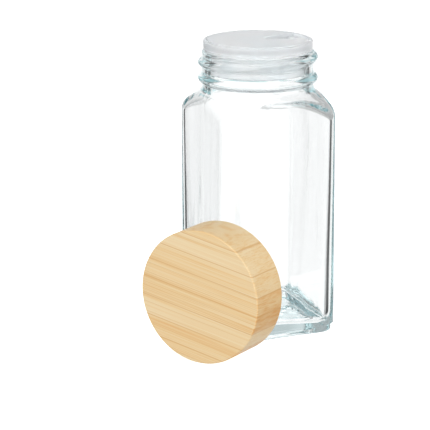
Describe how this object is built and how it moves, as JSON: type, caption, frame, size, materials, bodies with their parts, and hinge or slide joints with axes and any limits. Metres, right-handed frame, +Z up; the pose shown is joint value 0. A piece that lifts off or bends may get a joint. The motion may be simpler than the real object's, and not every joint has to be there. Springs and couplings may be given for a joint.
{
  "type": "spice jar",
  "caption": "Square glass spice jar with a round screw neck, a translucent sift-and-pour shaker with a turning dial, and a bamboo screw cap that stands on its rim beside it.",
  "frame": {"origin": "on the jar's upright axis, in the plane that the jar stands on", "axes": "+Z up along the jar's axis; X and Y square to the jar's flat sides; the cap stands towards -X and -Y"},
  "size_m": [0.0743, 0.0765, 0.1057],
  "materials": {
    "clear_glass": "smooth clear blown glass, faintly green-blue in the thick base and edges",
    "translucent_plastic": "milky translucent moulded polypropylene, satin",
    "bamboo": "sanded, clear-oiled bamboo with fine long grain",
    "liner_plastic": "white moulded plastic",
    "seal_foam": "soft white foamed plastic"
  },
  "bodies": {
    "jar": {"glass_jar": "clear_glass"},
    "shaker": {"shaker_base": "translucent_plastic"},
    "dial": {"shaker_dial": "translucent_plastic"},
    "seal": {"cap_seal": "seal_foam"},
    "cap": {"bamboo_strip_1": "bamboo", "bamboo_strip_2": "bamboo", "bamboo_strip_3": "bamboo", "bamboo_strip_4": "bamboo", "bamboo_strip_5": "bamboo", "bamboo_strip_6": "bamboo", "bamboo_strip_7": "bamboo", "bamboo_strip_8": "bamboo", "thread_liner": "liner_plastic"}
  },
  "joints": [
    {"name": "insert_pull", "type": "slide", "parent": "jar", "child": "shaker", "axis": [0, 0, 1], "range_m": [0, 0.009]},
    {"name": "dial_turn", "type": "hinge", "parent": "shaker", "child": "dial", "pos_m": [0, 0, 0.105], "axis": [0, 0, 1], "continuous": true},
    {"name": "cap_swing", "type": "hinge", "parent": "jar", "child": "seal", "pos_m": [0.03759, 0.02635, 0.0686], "axis": [-0.4633, 0.8821, -0.085], "range_deg": [0, 90.42]},
    {"name": "cap_turn", "type": "hinge", "parent": "seal", "child": "cap", "pos_m": [-0.0325, -0.03, 0.02373], "axis": [-0.8425, -0.5388, 0], "range_deg": [-360, 0]}
  ]
}
